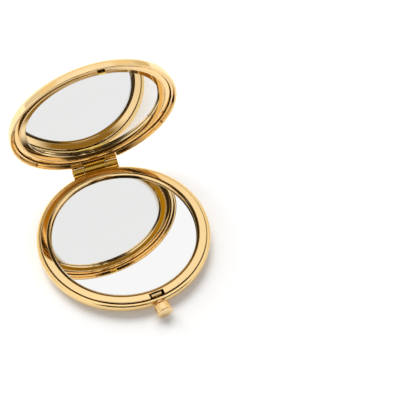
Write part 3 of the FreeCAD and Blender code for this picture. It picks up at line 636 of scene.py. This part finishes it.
def lid_hinge():
    """Sloped bar under the lid's step, with a leaf to the middle knuckle of the barrel."""
    low = LID_STEP - LEAF_THICKNESS
    front = CASE_RADIUS - LEAF_SETBACK
    seat = bar([
        (LID_LEAF_BACK, LID_STEP - SEAT_EDGE_HEIGHT), (front, low + SEAT_FRONT_DROP),
        (front, LID_STEP), (LID_LEAF_BACK, LID_STEP),
    ], BARREL_HALF, LEAF_EDGE)
    leaf = bar([(LID_LEAF_BACK, low), (HINGE.y, low), (HINGE.y, LID_STEP), (LID_LEAF_BACK, LID_STEP)],
               CENTRE_KNUCKLE / 2, LEAF_EDGE)
    barrel = along_hinge(knuckle(CENTRE_KNUCKLE, PIN_RADIUS + PIN_CLEARANCE))
    return opened(joined(seat, leaf, barrel))


def lid_catch_hook():
    """Hook that the catch holds when the lid is shut."""
    foot_bottom = LID_STEP - HOOK_FOOT_HEIGHT
    return opened(at_latch(bar([
        (-HOOK_OUTSIDE - HOOK_FOOT_REACH, LID_STEP),
        (-HOOK_OUTSIDE - HOOK_FOOT_REACH, foot_bottom),
        (-HOOK_OUTSIDE, foot_bottom),
        (-HOOK_OUTSIDE, HOOK_BOTTOM),
        (-HOOK_LIP - CAM_DEPTH, HOOK_BOTTOM),
        (-HOOK_LIP, HOOK_BOTTOM + CAM_DEPTH),
        (-HOOK_LIP, HOOK_LIP_TOP),
        (-HOOK_INSIDE, HOOK_LIP_TOP),
        (-HOOK_INSIDE, LID_STEP),
    ], HOOK_HALF, SMALL_EDGE)))


# Latch

def front_button():
    """Knob on its shank, with a narrower, softly domed cap on its end."""
    dome_start = KNOB_TIP - KNOB_DOME
    ledge = dome_start - KNOB_CAP_RISE
    cap_radius = KNOB_RADIUS - KNOB_CAP_INSET
    return along_button(lathe([
        (0, CATCH_INNER),
        (SHANK_RADIUS, CATCH_INNER),
        (SHANK_RADIUS, KNOB_BACK),
        (KNOB_RADIUS, KNOB_BACK, KNOB_BACK_ROUND),
        (KNOB_RADIUS, ledge, BROKEN_EDGE),
        (cap_radius, ledge),
        (cap_radius, dome_start, KNOB_EDGE_ROUND),
        (DOME_BEND_RADIUS, KNOB_TIP - DOME_BEND_DROP, DOME_BEND_ROUND),
        (0, KNOB_TIP),
    ], closed=False, steps=ROUND_STEPS // 2))


def catch_upright():
    """Upright plate with rounded head corners."""
    corners = [
        (-CATCH_HALF, CATCH_BOTTOM), (CATCH_HALF, CATCH_BOTTOM),
        (CATCH_HALF, CATCH_TOP), (-CATCH_HALF, CATCH_TOP),
    ]
    mesh = bmesh.new()
    spots = [mesh.verts.new((x, -CATCH_INNER, z)) for x, z in corners]
    mesh.faces.new(spots)
    bmesh.ops.bevel(
        mesh, geom=spots[2:], offset=CATCH_CORNER_ROUND, offset_type="OFFSET", segments=6, profile=0.5,
        affect="VERTICES", material=-1)
    return thickened(mesh, (0, -CATCH_THICKNESS, 0), CATCH_EDGE, 4)


def catch_nose():
    """Nose towards the front, with a slope on top that lets the hook past."""
    root = -CATCH_OUTER + NOSE_ROOT
    tip = -CATCH_OUTER - NOSE_REACH
    under = CATCH_TOP - NOSE_HEIGHT
    return bar([
        (root, under),
        (tip, under),
        (tip, CATCH_TOP - CAM_DEPTH),
        (tip + CAM_DEPTH, CATCH_TOP),
        (root, CATCH_TOP),
    ], CATCH_HALF - CATCH_CORNER_ROUND / 2, SMALL_EDGE)


def catch_plate():
    """Upright catch with the nose that holds the lid's hook."""
    return at_latch(joined(catch_upright(), catch_nose()))


def catch_spring():
    """Coil of round wire between the bracket and the catch, its ends closed."""
    wire_steps = SMALL_STEPS // 6
    turn_steps = SMALL_STEPS // 2
    mesh = bmesh.new()
    bmesh.ops.create_circle(mesh, cap_ends=False, segments=wire_steps, radius=WIRE_RADIUS)
    turned(mesh, math.pi / 2, "X")
    shifted(mesh, x=COIL_RADIUS, z=SPRING_FOOT.xy.length + WIRE_RADIUS)
    steps = SPRING_TURNS * turn_steps
    rise = (SPRING_SPACE - 2 * WIRE_RADIUS) / steps
    bmesh.ops.spin(
        mesh, geom=mesh.verts[:] + mesh.edges[:], cent=(0, 0, 0), axis=(0, 0, 1), dvec=(0, 0, rise),
        angle=2 * math.pi * SPRING_TURNS, steps=steps, use_merge=False, use_duplicate=False)
    bmesh.ops.holes_fill(mesh, edges=mesh.edges[:], sides=wire_steps)
    bmesh.ops.recalc_face_normals(mesh, faces=mesh.faces[:])
    return at_latch(shifted(turned(mesh, math.pi / 2, "X"), z=SPRING_HEIGHT))


def shorten_with_button(spring):
    """Gives the spring a mesh of its own."""
    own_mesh(spring)


# Shader tools

class Value:
    """Output of a node; sums with it add Math nodes."""

    def __init__(self, shading, socket):
        self.shading = shading
        self.socket = socket

    def __add__(self, other):
        return self.shading.math("ADD", self, other)

    __radd__ = __add__

    def __sub__(self, other):
        return self.shading.math("SUBTRACT", self, other)

    def __rsub__(self, other):
        return self.shading.math("SUBTRACT", other, self)

    def __mul__(self, other):
        return self.shading.math("MULTIPLY", self, other)

    __rmul__ = __mul__

    def __pow__(self, other):
        return self.shading.math("POWER", self, other)

    def __gt__(self, other):
        return self.shading.math("GREATER_THAN", self, other)


class Shading:
    """A node tree under construction."""

    def __init__(self, tree):
        self.tree = tree
        tree.nodes.clear()

    def node(self, kind, inputs, output=0, **settings):
        """One node with its settings and its socket values or links; gives back one of its outputs."""
        made = self.tree.nodes.new("ShaderNode" + kind)
        for name, setting in settings.items():
            setattr(made, name, setting)
        for name, given in inputs.items():
            if isinstance(given, Value):
                self.tree.links.new(given.socket, made.inputs[name])
            else:
                made.inputs[name].default_value = given
        return Value(self, made.outputs[output]) if made.outputs else None

    def math(self, operation, first, second=0.0):
        return self.node("Math", {0: first, 1: second}, operation=operation)

    def mix(self, share, first, second):
        """Colour between two, by a share."""
        return self.node("Mix", {0: share, 6: first, 7: second}, 2, data_type="RGBA")

    def noise(self, place, scale, detail=2.0, roughness=0.5):
        return self.node(
            "TexNoise", {"Vector": place, "Scale": scale, "Detail": detail, "Roughness": roughness}, "Fac")

    def split(self, vector):
        """The three parts of a vector."""
        first = self.node("SeparateXYZ", {0: vector})
        return [Value(self, socket) for socket in first.socket.node.outputs]

    def fade(self, value, start, end):
        """Smooth rise from 0 to 1 between two numbers."""
        limits = {"Value": value, "From Min": start, "From Max": end}
        return self.node("MapRange", limits, interpolation_type="SMOOTHSTEP")

    def zone(self, value, low, high, soft):
        """1 between two numbers and 0 outside them, with soft edges."""
        return self.fade(value, low - soft, low + soft) * (1 - self.fade(value, high - soft, high + soft))

    def surface(self, inputs):
        """Principled surface, as the material's output."""
        self.node("OutputMaterial", {"Surface": self.node("BsdfPrincipled", inputs)})

    def seen(self, *kinds):
        """1 for the named kinds of ray."""
        paths = self.node("LightPath", {}).socket.node
        found = Value(self, paths.outputs[kinds[0]])
        for kind in kinds[1:]:
            found = self.math("MAXIMUM", found, Value(self, paths.outputs[kind]))
        return found


def new_finish(name):
    material = bpy.data.materials.new(name)
    material.use_nodes = True
    return material, Shading(material.node_tree)


def own_place(shading, of_lid):
    """Object coordinates; for the lid they are swung back, so that Z is its own axis."""
    place = shading.node("TexCoord", {}, "Object")
    if not of_lid:
        return place
    shift = (HINGE - Matrix.Rotation(OPEN_ANGLE, 3, "X") @ HINGE) * MM
    return shading.node("Mapping", {"Vector": place, "Location": shift, "Rotation": (OPEN_ANGLE, 0, 0)})


# Finishes

PALE_GOLD = (0.965, 0.715, 0.385)
WARM_GOLD = (0.955, 0.680, 0.340)
DEEP_GOLD = (0.880, 0.620, 0.220)
# Painted shade: the dark amber put into gold's corners and creases, and how far it reaches (mm) on most
# pieces and on the hinge.
PAINTED_SHADE = (0.20, 0.125, 0.015, 1)
CORNER_SHADE_REACH = 0.6
HINGE_SHADE_REACH = 2.4


def toned(colour, depth):
    """A gold taken part of the way to the deep one; on the base rim and the hinge this is painted shade.
    """
    return [*Vector(colour).lerp(Vector(DEEP_GOLD), depth), 1]


def gold(name, roughness, of_lid=False, turning=0.0, grain=0.0, depth=0.0, shade_reach=CORNER_SHADE_REACH):
    """Plated gold with shifts of tone, haze, hairlines, turning lines and brush strokes, and painted
    shade: dark amber in corners and creases.
    """
    material, s = new_finish(name)
    place = own_place(s, of_lid)
    cloud = s.noise(place, 70, 3)
    haze = s.noise(place, 420, 4, 0.6)
    long_way = s.node("Mapping", {"Vector": place, "Rotation": (0.4, 0.2, 0.7), "Scale": (2600, 90, 2600)})
    hairs = s.noise(long_way, 1, 1) > 0.71
    across, along, _ = s.split(place)
    radius = (across * across + along * along) ** 0.5
    rings = s.node(
        "TexNoise", {"W": radius * 14000, "Scale": 1.0, "Detail": 1.0}, "Fac", noise_dimensions="1D")
    strokes = s.noise(s.node("Mapping", {"Vector": place, "Scale": (45, 2300, 2300)}), 1, 4, 0.6)
    height = rings * turning + strokes * grain
    tone = cloud + (strokes - 0.5) * grain * 4
    bright = s.mix(tone, toned(PALE_GOLD, depth), toned(WARM_GOLD, depth + grain))
    # Painted shade: where other surfaces are near, the gold's colour goes to dark amber.
    open_space = s.node("AmbientOcclusion", {"Distance": shade_reach * MM}, "AO", samples=12)
    s.surface({
        "Base Color": s.mix(s.fade(open_space, 0.3, 0.9), PAINTED_SHADE, bright),
        "Metallic": 1.0,
        "Roughness": roughness - 0.02 + haze * 0.04 + hairs * 0.03 + strokes * grain * 0.25,
        "Normal": s.node("Bump", {"Strength": 0.15, "Distance": 0.00002, "Height": height}, "Normal"),
    })
    return material


def silvered_glass(name):
    """Mirror with a trace of dust and wiping marks."""
    material, s = new_finish(name)
    place = s.node("TexCoord", {}, "Object")
    wiped = s.noise(s.node("Mapping", {"Vector": place, "Scale": (30, 90, 60)}), 1, 3)
    dust = s.noise(place, 2400, 1) > 0.78
    s.surface({
        "Base Color": s.mix(wiped, (0.918, 0.917, 0.915, 1), (0.908, 0.907, 0.905, 1)),
        "Metallic": 1.0,
        "Roughness": 0.004 + wiped * 0.006 + dust * 0.04,
    })
    return material


def foam(name):
    """Dark closed-cell foam with fine pores."""
    material, s = new_finish(name)
    place = s.node("TexCoord", {}, "Object")
    cells = s.node("TexVoronoi", {"Vector": place, "Scale": 2600.0}, "Distance")
    patch = s.noise(place, 160, 4)
    s.surface({
        "Base Color": s.mix(patch, (0.018, 0.018, 0.019, 1), (0.045, 0.044, 0.043, 1)),
        "Roughness": 0.75 + patch * 0.2,
        "Normal": s.node("Bump", {"Strength": 0.6, "Distance": 0.0001, "Height": cells}, "Normal"),
    })
    return material


def film(name):
    """Milky adhesive film with small trapped bubbles."""
    material, s = new_finish(name)
    place = s.node("TexCoord", {}, "Object")
    bubbles = s.node("TexVoronoi", {"Vector": place, "Scale": 1400.0}, "Distance")
    s.surface({
        "Base Color": s.mix(bubbles, (0.80, 0.77, 0.68, 1), (0.68, 0.65, 0.56, 1)),
        "Roughness": 0.35 + bubbles * 0.3,
        "Normal": s.node("Bump", {"Strength": 0.3, "Distance": 0.00003, "Height": bubbles}, "Normal"),
    })
    return material


def steel(name, stretch, tone):
    """Drawn or pressed steel with marks along one way."""
    material, s = new_finish(name)
    place = s.node("TexCoord", {}, "Object")
    marks = s.noise(s.node("Mapping", {"Vector": place, "Scale": stretch}), 1, 3)
    dark = tone * 0.8
    s.surface({
        "Base Color": s.mix(marks, (tone, tone, tone, 1), (dark, dark, dark, 1)),
        "Metallic": 1.0,
        "Roughness": 0.2 + marks * 0.22,
        "Normal": s.node("Bump", {"Strength": 0.25, "Distance": 0.00004, "Height": marks}, "Normal"),
    })
    return material


def dress_parts():
    """Every piece with its finish, its body and the node that it stands for."""
    # Painted shade: the base rim's gold is taken towards the deep gold, as it stands by the table's
    # shadow.
    rim = gold("rim_gold", 0.06, turning=0.02, depth=0.4)
    lid_rim_finish = gold("lid_rim_gold", 0.07, True, turning=0.02)
    ring = gold("ring_gold", 0.04, turning=0.01, depth=0.15)
    lid_ring_finish = gold("lid_ring_gold", 0.04, True, turning=0.01, depth=0.1)
    # Painted shade: the hinge gold, also used on the hook, is taken past the deep gold and darkened far
    # into its creases.
    hinge = gold("hinge_gold", 0.03, depth=1.5, shade_reach=HINGE_SHADE_REACH)
    button = gold("button_gold", 0.05)
    plate = gold("plate_gold", 0.15, turning=0.05, grain=0.3)
    cover = gold("cover_gold", 0.13, True, grain=0.35)
    glass = silvered_glass("mirror_glass")
    pin = steel("pin_steel", (30, 4000, 4000), 0.70)
    piece("base_rim", base_rim(), rim, "base", "base_shell")
    piece("base_foot", base_foot(), plate, "base", "base_plate")
    piece("base_glass", base_glass(), glass, "base", "base_mirror")
    piece("base_ring", base_ring(), ring, "base", "base_bezel")
    piece("base_hinge", base_hinge(), hinge, "base", "base_hinge_leaf")
    piece("barrel_pin", barrel_pin(), pin, "base", "hinge_pin")
    piece("front_bush", front_bush(), button, "base", "latch_bush")
    piece("lid_rim", lid_rim(), lid_rim_finish, "lid", "lid_shell")
    piece("lid_dome", lid_dome(), cover, "lid", "lid_cover")
    piece("lid_glass", lid_glass(), glass, "lid", "lid_mirror")
    piece("lid_ring", lid_ring(), lid_ring_finish, "lid", "lid_bezel")
    piece("lid_hinge", lid_hinge(), hinge, "lid", "lid_hinge_leaf")
    piece("lid_catch_hook", lid_catch_hook(), hinge, "lid", "lid_hook")
    piece("front_button", front_button(), button, "latch", "push_button")
    piece("catch_plate", catch_plate(), button, "latch", "latch_catch")
    wire = steel("spring_steel", (500, 500, 500), 0.52)
    spring = piece("catch_spring", catch_spring(), wire, "latch", "latch_spring")
    shorten_with_button(spring)
    pad = foam("pad_foam")
    piece("base_pad", base_pad(), pad, "base", "base_mirror_pad")
    piece("lid_pad", lid_pad(), pad, "lid", "lid_mirror_pad")


def dress_kept_nodes():
    """Finishes for the nodes that stay as they are."""
    film_finish = film("edge_film")
    kept_nodes = {
        "base_plate_film": film_finish,
        "lid_cover_film": film_finish,
        "spring_bracket": steel("bracket_steel", (900, 60, 900), 0.60),
    }
    for node, finish in kept_nodes.items():
        materials = frame["nodes"][node].data.materials
        materials.clear()
        materials.append(finish)


# Table, light and camera

TABLE_HALF = 4.0
TABLE_LIFT = 0.15
FILL_LIGHT = 0.31
LAMP_SIZE = 4.0
LAMP_POWER = 158.0
LAMP_PLACE = (-0.25, 2.1, 2.4)
SENSOR_WIDTH = 36
LENS = 196.256
CLIP_START = 0.05
CLIP_END = 20
CAMERA_PLACE = (-0.15038, -0.50858, 0.74859)
CAMERA_AXIS = Vector((-0.20318, -0.55390, 0.80741))

WHITE = (1, 1, 1, 1)
CARD_WHITE = (0.98, 0.98, 0.98, 1)
WARM_BACK = (0.94, 0.83, 0.62, 1)
WARM_RIGHT = (0.74, 0.66, 0.48, 1)
SCREEN_DARK = (0.04, 0.03, 0.015, 1)
SCREEN_TOP = (0.30, 0.19, 0.04, 1)
AMBER_LOW = (0.25, 0.15, 0.02, 1)
AMBER_HIGH = (0.45, 0.26, 0.008, 1)


def lay_table():
    """White table that keeps the shadow; seen directly or in metal it is lifted to white."""
    material, s = new_finish("white_table")
    grain = s.noise(s.node("TexCoord", {}, "Object"), 900, 3)
    matt = s.node("BsdfDiffuse", {"Color": s.mix(grain, (0.90, 0.90, 0.90, 1), (0.88, 0.88, 0.88, 1))})
    lift = s.node("Emission", {"Color": WHITE, "Strength": TABLE_LIFT})
    lifted = s.node("AddShader", {0: matt, 1: lift})
    looked_at = s.seen("Is Camera Ray", "Is Glossy Ray", "Is Transmission Ray")
    s.node("OutputMaterial", {"Surface": s.node("MixShader", {0: looked_at, 1: matt, 2: lifted})})
    mesh = bmesh.new()
    bmesh.ops.create_grid(mesh, x_segments=1, y_segments=1, size=TABLE_HALF)
    data = stored("table", mesh)
    data.materials.append(material)
    linked("table", data)


def oval_card(s, turn, rise, middle, half):
    """1 on an oval card, from its middle and half size as a turn and a rise."""
    across = (turn - middle[0]) * (1 / half[0])
    above = (rise - middle[1]) * (1 / half[1])
    return 1 - s.fade(across * across + above * above, 0.95, 1.15)


def white_room(s, turn, rise):
    """Light of the bare room: brighter overhead and low at the back, duller low on the left."""
    aside = s.math("ABSOLUTE", turn)
    overhead = s.fade(rise, 60, 68) * 0.1
    low_back = s.zone(aside, 138, 200, 8) * s.zone(rise, -20, 14, 8) * 0.1
    low_left = s.zone(turn, -136, -88, 8) * s.zone(rise, -20, 34, 8) * 0.2
    level = 1.02 + overhead + low_back - low_left
    room = s.node("CombineColor", {0: level, 1: level, 2: level})
    warm_belt = s.zone(rise, 24, 45, 5) * s.zone(aside, 110, 200, 10)
    warm_side = s.zone(turn, 62, 136, 10) * s.zone(rise, -30, 22, 8)
    return s.mix(warm_side, s.mix(warm_belt, room, WARM_BACK), WARM_RIGHT)


def metal_surroundings(s, turn, rise):
    """What polished metal sees: the room, with a dark screen, an amber panel and two cards in front."""
    low_screen = s.zone(turn, -50, 58, 8) * s.zone(rise, 4, 49, 4)
    high_screen = s.zone(turn, -50, 36, 3) * s.zone(rise, 47, 70, 2)
    top_screen = s.zone(turn, 10, 60, 6) * s.zone(rise, 69, 78, 2)
    amber_panel = s.zone(turn, -6, 19.5, 3) * s.zone(rise, 0, 48, 4)
    amber = s.mix(s.fade(rise, 26, 36), AMBER_LOW, AMBER_HIGH)
    low_card = oval_card(s, turn, rise, (11.8, 41.2), (5.1, 4.8))
    high_card = oval_card(s, turn, rise, (21.5, 64), (9, 4.6))
    shade = s.mix(s.math("MAXIMUM", low_screen, high_screen), white_room(s, turn, rise), SCREEN_DARK)
    shade = s.mix(top_screen, shade, SCREEN_TOP)
    shade = s.mix(amber_panel, shade, amber)
    return s.mix(s.math("MAXIMUM", low_card, high_card), shade, CARD_WHITE)


def light_studio():
    """White studio all round; only polished metal sees the screens and cards in it.

    Turns are degrees to the right of the front, rises are degrees above the table.
    """
    world = bpy.data.worlds.new("white_studio")
    bpy.context.scene.world = world
    world.use_nodes = True
    s = Shading(world.node_tree)
    x, y, z = s.split(s.node("TexCoord", {}, "Generated"))
    turn = s.math("ARCTAN2", x, y * -1) * math.degrees(1)
    rise = s.math("ARCSINE", z) * math.degrees(1)
    in_metal = s.seen("Is Glossy Ray")
    plain = s.seen("Is Camera Ray", "Is Transmission Ray") * (1 - FILL_LIGHT) + FILL_LIGHT
    colour = s.mix(in_metal, WHITE, metal_surroundings(s, turn, rise))
    strength = s.math("MAXIMUM", plain, in_metal)
    s.node("OutputWorld", {"Surface": s.node("Background", {"Color": colour, "Strength": strength})})


def hang_key_light():
    """Large soft lamp high behind the lid, which throws the shadow to the front."""
    lamp = bpy.data.lights.new("key_light", "AREA")
    lamp.shape = "DISK"
    lamp.size = LAMP_SIZE
    lamp.energy = LAMP_POWER
    obj = linked("key_light", lamp)
    obj.location = LAMP_PLACE
    obj.rotation_euler = obj.location.to_track_quat("Z", "Y").to_euler()
    obj.visible_glossy = False


def place_camera():
    """Camera at the photograph's view: high, a little to the left, through a long lens."""
    data = bpy.data.cameras.new("camera")
    data.sensor_width = SENSOR_WIDTH
    data.lens = LENS
    data.clip_start = CLIP_START
    data.clip_end = CLIP_END
    camera = linked("camera", data)
    camera.location = CAMERA_PLACE
    camera.rotation_euler = CAMERA_AXIS.to_track_quat("Z", "Y").to_euler()
    bpy.context.scene.camera = camera


dress_parts()
dress_kept_nodes()
lay_table()
light_studio()
hang_key_light()
place_camera()
bpy.context.scene.view_settings.view_transform = "Standard"
